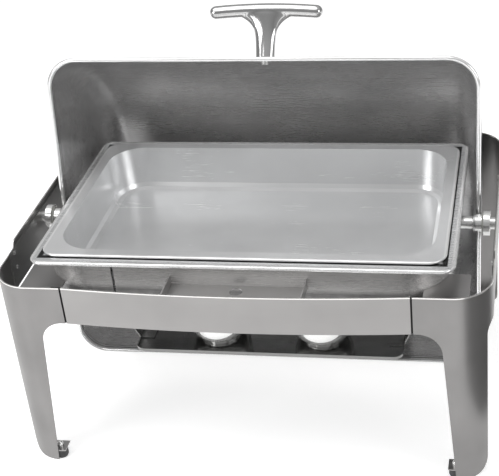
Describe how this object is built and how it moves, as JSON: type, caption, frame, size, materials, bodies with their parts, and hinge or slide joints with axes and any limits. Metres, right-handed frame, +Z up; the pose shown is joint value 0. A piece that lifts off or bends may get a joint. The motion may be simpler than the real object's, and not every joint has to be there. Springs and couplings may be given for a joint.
{
  "type": "roll top chafer",
  "caption": "Stainless roll top chafer: rolling lid on side pivots, bent-sheet leg frame, water pan, food pan and a fuel shelf with burner cups.",
  "frame": {"origin": "on the table, below the middle of the leg frame", "axes": "+X along the width to the right, +Y to the back, +Z up"},
  "size_m": [0.646, 0.46, 0.5331],
  "materials": {
    "frame_steel": "satin brushed stainless sheet",
    "lid_steel": "fine brushed stainless, bright rolled rim",
    "pan_steel": "drawn stainless, satin inside, bright rim",
    "shelf_steel": "polished stainless sheet",
    "cast_chrome": "polished cast handle",
    "pin_steel": "turned stainless",
    "foot_rubber": "black moulded rubber",
    "washer_plastic": "natural nylon"
  },
  "bodies": {
    "frame": {"left_side_frame": "frame_steel", "right_side_frame": "frame_steel", "front_band": "frame_steel", "rear_band": "frame_steel", "front_corner_plates": "frame_steel", "panel_stiffeners": "frame_steel", "stiffener_rivets": "pin_steel", "foot_tabs": "frame_steel", "foot_pads": "foot_rubber", "foot_nuts": "pin_steel", "pan_cradle": "frame_steel", "front_bracket": "frame_steel", "fuel_shelf": "shelf_steel", "left_shelf_hanger": "shelf_steel", "right_shelf_hanger": "shelf_steel", "left_pivot_shaft": "pin_steel", "right_pivot_shaft": "pin_steel", "pivot_bosses": "pin_steel", "pivot_washers": "washer_plastic", "lid_stop_pins": "pin_steel"},
    "lid": {"lid_shell": "lid_steel", "left_lid_pivot_plate": "lid_steel", "right_lid_pivot_plate": "lid_steel", "left_lid_hub": "pin_steel", "right_lid_hub": "pin_steel", "lid_plate_rivets": "pin_steel", "lid_handle": "cast_chrome", "handle_washers": "pin_steel", "handle_screws": "pin_steel"},
    "water_pan": {"water_pan": "pan_steel"},
    "food_pan": {"food_pan": "pan_steel"},
    "left_cup": {"left_fuel_cup": "shelf_steel", "left_damper_pin": "pin_steel"},
    "right_cup": {"right_fuel_cup": "shelf_steel", "right_damper_pin": "pin_steel"},
    "left_damper": {"left_damper": "shelf_steel"},
    "right_damper": {"right_damper": "shelf_steel"}
  },
  "joints": [
    {"name": "lid_roll", "type": "hinge", "parent": "frame", "child": "lid", "pos_m": [0, -0.013, 0.273], "axis": [1, 0, 0], "range_deg": [0, 99]},
    {"name": "water_pan_lift", "type": "slide", "parent": "frame", "child": "water_pan", "axis": [0, 0, 1], "range_m": [0, 0.02]},
    {"name": "food_pan_lift", "type": "slide", "parent": "water_pan", "child": "food_pan", "axis": [0, 0, 1], "range_m": [0, 0.025]},
    {"name": "left_cup_lift", "type": "slide", "parent": "frame", "child": "left_cup", "axis": [0, 0, 1], "range_m": [0, 0.04]},
    {"name": "right_cup_lift", "type": "slide", "parent": "frame", "child": "right_cup", "axis": [0, 0, 1], "range_m": [0, 0.04]},
    {"name": "left_damper_turn", "type": "hinge", "parent": "left_cup", "child": "left_damper", "pos_m": [-0.076, 0.008, 0.138], "axis": [0, 0, 1], "range_deg": [-60, 0]},
    {"name": "right_damper_turn", "type": "hinge", "parent": "right_cup", "child": "right_damper", "pos_m": [0.076, 0.008, 0.138], "axis": [0, 0, 1], "range_deg": [0, 60]}
  ]
}
